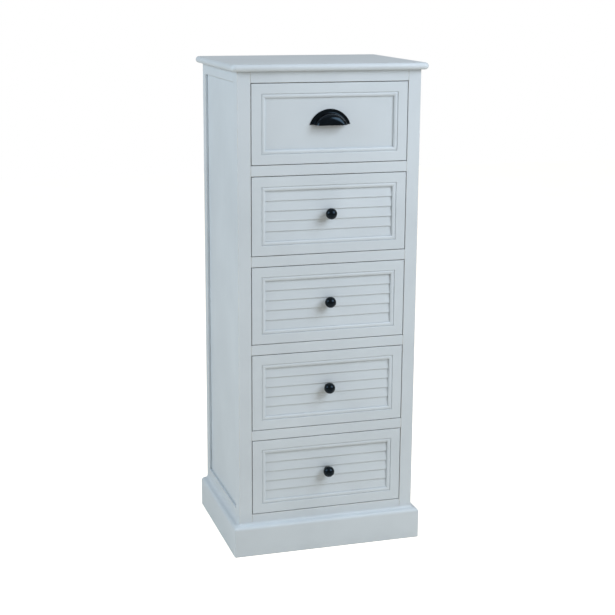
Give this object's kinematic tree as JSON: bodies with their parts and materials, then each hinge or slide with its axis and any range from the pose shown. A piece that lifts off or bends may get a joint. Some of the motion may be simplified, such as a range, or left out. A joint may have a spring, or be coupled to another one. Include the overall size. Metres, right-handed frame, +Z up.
{
  "type": "chest of drawers",
  "caption": "Tall narrow painted chest on a moulded plinth: a flat-panelled top drawer with a cup pull above louvred drawers with ball knobs, all sliding on wooden runners",
  "frame": {"origin": "On the floor, at the middle of the bounding box with the drawers closed", "axes": "+Z up, the drawer fronts face -Y, +X is to the right of someone facing the drawers"},
  "size_m": [0.443, 0.359, 1.1],
  "materials": {
    "painted_wood": "cool white satin paint, brushed, over smooth wood and fibreboard",
    "bare_wood": "planed pale softwood, unpainted",
    "plywood": "thin sanded plywood",
    "black_metal": "black satin lacquer on cast metal",
    "zinc_steel": "bright zinc plating on steel screws"
  },
  "bodies": {
    "carcass": {"top_board": "painted_wood", "front_post_left": "painted_wood", "front_post_right": "painted_wood", "rear_posts": "painted_wood", "side_rails": "painted_wood", "side_panels": "painted_wood", "front_rails": "painted_wood", "rear_rails": "bare_wood", "back_panel": "painted_wood", "runners": "bare_wood", "dust_board": "bare_wood", "top_battens": "bare_wood", "plinth_front": "painted_wood", "plinth_sides": "painted_wood", "plinth_back": "bare_wood"},
    "drawer_1": {"drawer_1_frame": "painted_wood", "drawer_1_bead": "painted_wood", "drawer_1_panel": "painted_wood", "drawer_1_box_sides": "bare_wood", "drawer_1_box_ends": "bare_wood", "drawer_1_bottom": "plywood", "drawer_1_screws": "zinc_steel", "drawer_1_cup_pull": "black_metal"},
    "drawer_2": {"drawer_2_frame": "painted_wood", "drawer_2_bead": "painted_wood", "drawer_2_panel": "painted_wood", "drawer_2_box_sides": "bare_wood", "drawer_2_box_ends": "bare_wood", "drawer_2_bottom": "plywood", "drawer_2_screws": "zinc_steel", "drawer_2_slats": "painted_wood", "drawer_2_knob": "black_metal"},
    "drawer_3": {"drawer_3_frame": "painted_wood", "drawer_3_bead": "painted_wood", "drawer_3_panel": "painted_wood", "drawer_3_box_sides": "bare_wood", "drawer_3_box_ends": "bare_wood", "drawer_3_bottom": "plywood", "drawer_3_screws": "zinc_steel", "drawer_3_slats": "painted_wood", "drawer_3_knob": "black_metal"},
    "drawer_4": {"drawer_4_frame": "painted_wood", "drawer_4_bead": "painted_wood", "drawer_4_panel": "painted_wood", "drawer_4_box_sides": "bare_wood", "drawer_4_box_ends": "bare_wood", "drawer_4_bottom": "plywood", "drawer_4_screws": "zinc_steel", "drawer_4_slats": "painted_wood", "drawer_4_knob": "black_metal"},
    "drawer_5": {"drawer_5_frame": "painted_wood", "drawer_5_bead": "painted_wood", "drawer_5_panel": "painted_wood", "drawer_5_box_sides": "bare_wood", "drawer_5_box_ends": "bare_wood", "drawer_5_bottom": "plywood", "drawer_5_screws": "zinc_steel", "drawer_5_slats": "painted_wood", "drawer_5_knob": "black_metal"}
  },
  "joints": [
    {"name": "drawer_1_slide", "type": "slide", "parent": "carcass", "child": "drawer_1", "axis": [0, -1, 0], "range_m": [0, 0.23]},
    {"name": "drawer_2_slide", "type": "slide", "parent": "carcass", "child": "drawer_2", "axis": [0, -1, 0], "range_m": [0, 0.23]},
    {"name": "drawer_3_slide", "type": "slide", "parent": "carcass", "child": "drawer_3", "axis": [0, -1, 0], "range_m": [0, 0.23]},
    {"name": "drawer_4_slide", "type": "slide", "parent": "carcass", "child": "drawer_4", "axis": [0, -1, 0], "range_m": [0, 0.23]},
    {"name": "drawer_5_slide", "type": "slide", "parent": "carcass", "child": "drawer_5", "axis": [0, -1, 0], "range_m": [0, 0.23]}
  ]
}
